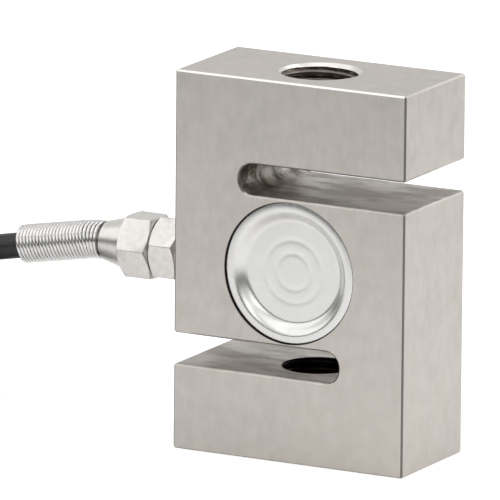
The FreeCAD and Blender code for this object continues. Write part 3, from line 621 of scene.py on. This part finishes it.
# Each row of a chamfered end: its share of the way out to the flats and corners, and its setback.
CHAMFER_ROWS = ((0.0, 0.0), (0.5, 0.0), (0.93, 0.0), (1.0, 0.1 * MM))
BODY_HEX, NUT_HEX = 5.7 * MM, 6.7 * MM
COLLAR, COLLAR_RADIUS = 1.1 * MM, 5.5 * MM
SPIGOT, SPIGOT_RADIUS = 0.8 * MM, 3.0 * MM
NOSE_ROOT, NOSE_TIP, NOSE_STEPS = 5.3 * MM, 3.95 * MM, 16
PORT_THREAD, NUT_THREAD, NUT_BORE = 3.45 * MM, 4.9 * MM, 4.95 * MM
SEAL_BORE, SEAL_DEPTH = 4.15 * MM, 4.0 * MM
CABLE_BORE = 2.75 * MM
BROKEN_EDGE = 0.1 * MM
GLAND_ROUND = 240


def about_gland(along, radius, angle):
    """A point round the gland's axis, at a distance out from the beam's left face."""
    return Vector((
        BEAM_LOW.x - along,
        GLAND_Y + radius * math.sin(angle),
        GLAND_Z + radius * math.cos(angle),
    ))


def hex_radius(angle, corner):
    """A hexagon's radius with slightly rounded corners, one of them at the given angle."""
    flats = (corner + math.radians(30 + 60 * k) for k in range(6))
    total = sum(max(0.0, math.cos(angle - flat)) ** CORNER_POWER for flat in flats)
    return HEX_FLATS / 2 * total ** (-1 / CORNER_POWER)


def hexagon_rows(start, end, corner):
    """Rings round a hexagon between two chamfered ends."""
    angles = ring_angles(GLAND_ROUND)
    inner = HEX_FLATS / 2 - BROKEN_EDGE
    reach = [hex_radius(a, corner) - inner for a in angles]
    lean = math.tan(HEX_CHAMFER)

    def row(at, way, share, setback):
        return [
            about_gland(at + way * (d * share * lean + setback), inner + d * share, a)
            for a, d in zip(angles, reach)
        ]

    near = [row(start, 1, *step) for step in CHAMFER_ROWS]
    far = [row(end, -1, *step) for step in reversed(CHAMFER_ROWS)]
    return near + far


def turned_rows(profile):
    """Rings of a turned surface, from pairs of place along the axis and radius."""
    return [[about_gland(along, radius, a) for a in ring_angles(GLAND_ROUND)] for along, radius in profile]


def gland_body():
    """The gland's body as one skin: port thread, collar, hexagon, nut thread and the seal's bore."""
    body_low, body_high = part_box("gland_body")
    port_end, body_end = BEAM_LOW.x - body_high[0], BEAM_LOW.x - body_low[0]
    washer_end = BEAM_LOW.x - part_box("gland_washer")[0][0]
    hex_start = washer_end + COLLAR
    hex_end = hex_start + BODY_HEX
    seal_foot = body_end - SEAL_DEPTH
    rows = turned_rows([
        (port_end, CABLE_BORE), (port_end, PORT_THREAD), (washer_end, PORT_THREAD),
        (washer_end, COLLAR_RADIUS - BROKEN_EDGE), (washer_end + BROKEN_EDGE, COLLAR_RADIUS),
        (hex_start, COLLAR_RADIUS),
    ])
    rows += hexagon_rows(hex_start, hex_end, BODY_CORNER)
    rows += turned_rows([
        (hex_end, NUT_THREAD), (body_end, NUT_THREAD), (body_end, SEAL_BORE), (seal_foot, SEAL_BORE),
        (seal_foot, CABLE_BORE), (port_end, CABLE_BORE),
    ])
    make_piece("gland_hex", outward(grid_mesh("gland_hex", rows)), MATERIALS["gland_nickel"], "gland_body")


def cap_nut():
    """The cap nut as one skin: hexagon, cone nose, spigot and the recess over the body's thread."""
    nut_start, nut_end = BEAM_LOW.x - NUT_HIGH.x, BEAM_LOW.x - NUT_LOW.x
    hex_end, nose_end = nut_start + NUT_HEX, nut_end - SPIGOT
    recess = BEAM_LOW.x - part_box("thrust_washer")[0][0]
    rows = turned_rows([(nut_start, NUT_BORE)])
    rows += hexagon_rows(nut_start, hex_end, NUT_CORNER)
    nose = []
    for k in range(NOSE_STEPS + 1):
        share = k / NOSE_STEPS
        along = hex_end + (nose_end - BROKEN_EDGE - hex_end) * share
        nose.append((along, NOSE_ROOT + (NOSE_TIP - NOSE_ROOT) * share))
    nose += [(nose_end, NOSE_TIP - BROKEN_EDGE), (nose_end, SPIGOT_RADIUS), (nut_end, SPIGOT_RADIUS)]
    nose += [(nut_end, CABLE_BORE), (recess, CABLE_BORE), (recess, NUT_BORE), (nut_start, NUT_BORE)]
    rows += turned_rows(nose)
    mesh = outward(grid_mesh("gland_cap_nut", rows))
    make_piece("gland_cap_nut", mesh, MATERIALS["gland_nickel"], "gland_nut")


# ---- spring ----------------------------------------------------------------------------------------

WIRE_RADIUS, COIL_RADIUS = 0.37 * MM, 3.53 * MM
COIL_PITCH, COIL_TURNS = 0.76 * MM, 24
# The coil's axis runs straight on the spigot, bends over this length down to the droop, then is straight.
COIL_BEND, COIL_DROOP = 3.0 * MM, math.radians(10.2)
STEPS_PER_TURN, WIRE_SIDES = 44, 12


def spring():
    """The strain relief's round wire, wound close on the nut's spigot and drooping from there."""
    start = BEAM_LOW.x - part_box("strain_relief_spring")[1][0] + WIRE_RADIUS
    bend_radius = COIL_BEND / COIL_DROOP
    sides = ring_angles(WIRE_SIDES)
    rows = []
    for step in range(COIL_TURNS * STEPS_PER_TURN + 1):
        along = COIL_PITCH * step / STEPS_PER_TURN
        angle = min(max(along - SPIGOT, 0.0) / bend_radius, COIL_DROOP)
        rest = max(along - SPIGOT - COIL_BEND, 0.0)
        out = start + min(along, SPIGOT) + bend_radius * math.sin(angle) + rest * math.cos(angle)
        down = bend_radius * (1 - math.cos(angle)) + rest * math.sin(angle)
        axis = Vector((-math.cos(angle), 0, -math.sin(angle)))
        upward = Vector((-math.sin(angle), 0, math.cos(angle)))
        turn = 2 * math.pi * step / STEPS_PER_TURN
        radial = upward * math.cos(turn) + Vector((0, 1, 0)) * math.sin(turn)
        centre = Vector((BEAM_LOW.x - out, GLAND_Y, GLAND_Z - down)) + radial * COIL_RADIUS
        rows.append([
            centre + radial * (WIRE_RADIUS * math.cos(side)) + axis * (WIRE_RADIUS * math.sin(side))
            for side in sides
        ])
    mesh = outward(grid_mesh("relief_spring", rows))
    make_piece("relief_spring", mesh, MATERIALS["spring_steel"], "strain_relief_spring", smooth_angle=50)


# ---- cable -----------------------------------------------------------------------------------------

CABLE_RADIUS = 2.6 * MM
HANK_NEAR, HANK_RUN = 97.5 * MM, 100.9 * MM
INNER_LANE, OUTER_LANE = 15.6 * MM, 20.8 * MM
HANK_BASE = 0.9 * MM
END_STEPS = 8

# The free stretches' points, in millimetres: from the gland to the hank, and from the hank to the tail.
TO_HANK = [(-18.0, -3.2, 37.7), (-48.4, -3.2, 37.7), (-79.0, -3.2, 31.8), (-111.0, -12.4, 27.2)]
TAIL = [(-112.0, -18.8, 3.5), (-132.0, -13.8, 3.3), (-157.0, -8.8, 3.0)]

# Each turn of the hank: its layer, counted from the floor, and its lane.
TURNS = [(5, INNER_LANE), (4, INNER_LANE), (4, OUTER_LANE), (3, OUTER_LANE), (3, INNER_LANE)]
TURNS += [(2, INNER_LANE), (2, OUTER_LANE), (1, OUTER_LANE), (1, INNER_LANE)]

# Where a turn's cord enters its lane on the front and where it leaves it for the next one, out from the
# middle. Both lie a step further out for each turn still to come; the first turn enters without a step.
ENTER, ENTER_STEP = 142 * MM, 7 * MM
LEAVE, LEAVE_STEP = 118 * MM, 6 * MM
# From the enter point to the next one, and from a half turn's centre to the rear straight's own point.
SETTLE, REAR_LEAD = 9 * MM, 34 * MM


def layer_height(layer):
    return HANK_BASE + CABLE_RADIUS * (2 * layer - 1)


def half_round(centre_x, lane, height, start):
    """Control points of a half turn at one end of the hank, and one on the straight before and after it."""
    half_step = math.pi / END_STEPS / 2
    reach, lead = lane / math.cos(half_step), lane * math.tan(half_step)
    side = math.sin(start)
    before = Vector((centre_x - side * lead, GLAND_Y + side * lane, height))
    after = Vector((centre_x - side * lead, GLAND_Y - side * lane, height))
    angles = (start - half_step * (2 * k + 1) for k in range(END_STEPS))
    arc = [Vector((centre_x + reach * math.cos(a), GLAND_Y + reach * math.sin(a), height)) for a in angles]
    return [before, *arc, after]


def hank_points():
    """Turn after turn: out along the front, round the far end, back along the rear, round the near end."""
    points = []
    near, far = -HANK_NEAR, -(HANK_NEAR + HANK_RUN)
    for number, (layer, lane) in enumerate(TURNS):
        height = layer_height(layer)
        front, rear = GLAND_Y - lane, GLAND_Y + lane
        left = len(TURNS) - 1 - number
        if number:
            enter = -(ENTER + ENTER_STEP * left)
            points += [Vector((enter, front, height)), Vector((enter - SETTLE, front, height))]
        else:
            points += [Vector((-ENTER, front, height))]
        points += half_round(far, lane, height, 3 * math.pi / 2)
        points += [Vector((far + REAR_LEAD, rear, height)), Vector((near - REAR_LEAD, rear, height))]
        points += half_round(near, lane, height, math.pi / 2)
        if left:
            points += [Vector((-(LEAVE + LEAVE_STEP * left), front, height))]
    return points


def cable():
    """One smooth line through the gland, round the hank and out to the tail."""
    points = [Vector(p) * MM for p in TO_HANK] + hank_points() + [Vector(p) * MM for p in TAIL]
    curve = bpy.data.curves.new("cable", "CURVE")
    curve.dimensions = "3D"
    curve.bevel_depth = CABLE_RADIUS
    curve.bevel_resolution = 4
    curve.resolution_u = 5
    curve.use_fill_caps = True
    spline = curve.splines.new("NURBS")
    spline.points.add(len(points) - 1)
    for place, point in zip(spline.points, points):
        place.co = (*point, 1.0)
    spline.order_u = 3
    spline.use_endpoint_u = True
    made = bpy.data.objects.new("cable", curve)
    bpy.context.collection.objects.link(made)
    curve.materials.append(MATERIALS["cable_jacket"])
    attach(made, "root")
    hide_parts("cable_tube", "cable_hank", "cable_tail")
    return made


# ---- the object ------------------------------------------------------------------------------------

MATERIALS = materials()
camera()
surround()
studio_floor()
for light, settings in LIGHTS.items():
    area_light(light, *settings)
jacket = cable()
for node, piece in NODES.items():
    piece.data.materials.clear()
    piece.data.materials.append(MATERIALS[SLOT_OF[node]])
beam()
cover("front_dish", "front_cover", -1)
cover("rear_dish", "rear_cover", 1)
gland_body()
cap_nut()
spring()

ON_CABLE = ["gland_washer", "gland_seal", "thrust_washer", "front_tie", "rear_tie", "shrink_sleeve"]
ON_CABLE += [f"lead_{colour}" for colour in ("red", "black", "green", "white")] + ["lead_tips", "drain_wire"]

bpy.context.scene.view_settings.view_transform = "Standard"
